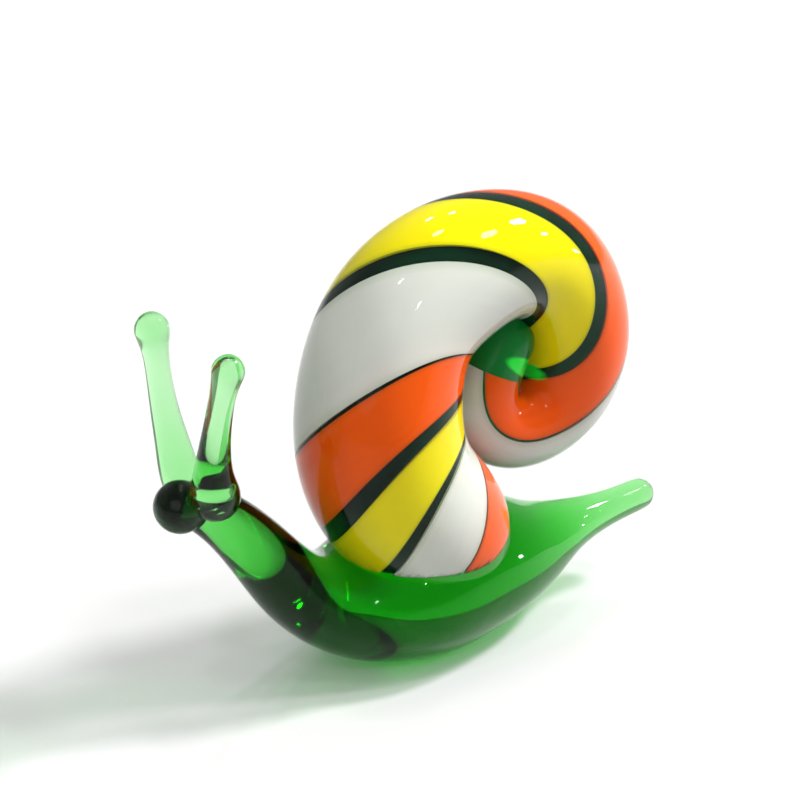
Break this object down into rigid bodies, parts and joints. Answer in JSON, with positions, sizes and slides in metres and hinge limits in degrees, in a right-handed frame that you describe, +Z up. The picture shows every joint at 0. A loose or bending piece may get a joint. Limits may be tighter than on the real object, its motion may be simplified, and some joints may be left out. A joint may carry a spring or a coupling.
{
  "type": "snail figurine",
  "caption": "Worked-glass snail ornament: a striped coiled shell on a clear green foot with a head bead, raised tail and two bead-tipped tentacles.",
  "frame": {"origin": "centre of the figurine's bounding box, at the flat underside that it stands on", "axes": "+Z up from the surface that it stands on; +X from the head towards the tail; -Y is the snail's left side"},
  "size_m": [0.0476, 0.0152, 0.0371],
  "materials": {
    "green_glass": "clear gloss",
    "core_glass": "deep green gloss",
    "white_glass": "opaque gloss",
    "yellow_glass": "opaque gloss",
    "orange_glass": "opaque gloss",
    "clear_glass": "clear gloss"
  },
  "bodies": {
    "root": {"foot": "green_glass", "head_bead": "green_glass", "left_tentacle": "green_glass", "right_tentacle": "green_glass", "left_eye": "green_glass", "right_eye": "green_glass", "shell_core": "core_glass", "white_band": "white_glass", "yellow_band": "yellow_glass", "orange_band": "orange_glass", "shell_casing": "clear_glass"}
  },
  "joints": []
}
